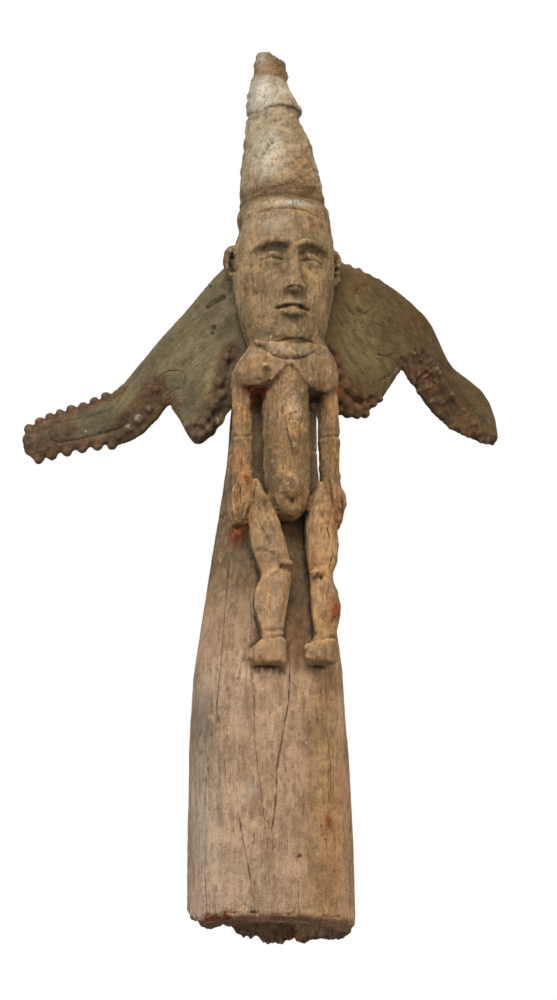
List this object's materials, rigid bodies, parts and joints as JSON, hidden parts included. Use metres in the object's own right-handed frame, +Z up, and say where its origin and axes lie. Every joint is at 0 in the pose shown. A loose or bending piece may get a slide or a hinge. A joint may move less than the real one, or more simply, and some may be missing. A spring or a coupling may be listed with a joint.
{
  "type": "carved roof figure",
  "caption": "Tall carved wooden roof finial: hollow trunk socket, standing figure with conical headdress and spread wings.",
  "frame": {"origin": "on the ground under the middle of the whole figure's bounding box", "axes": "+Z up along the trunk, -Y towards the front of the figure, +X to the viewer's right"},
  "size_m": [0.6646, 0.2562, 1.246],
  "materials": {
    "weathered_wood": "dry, matt, weathered hardwood with grain, drying cracks and dark stains"
  },
  "bodies": {
    "root": {"roof_figure": "weathered_wood"}
  },
  "joints": []
}
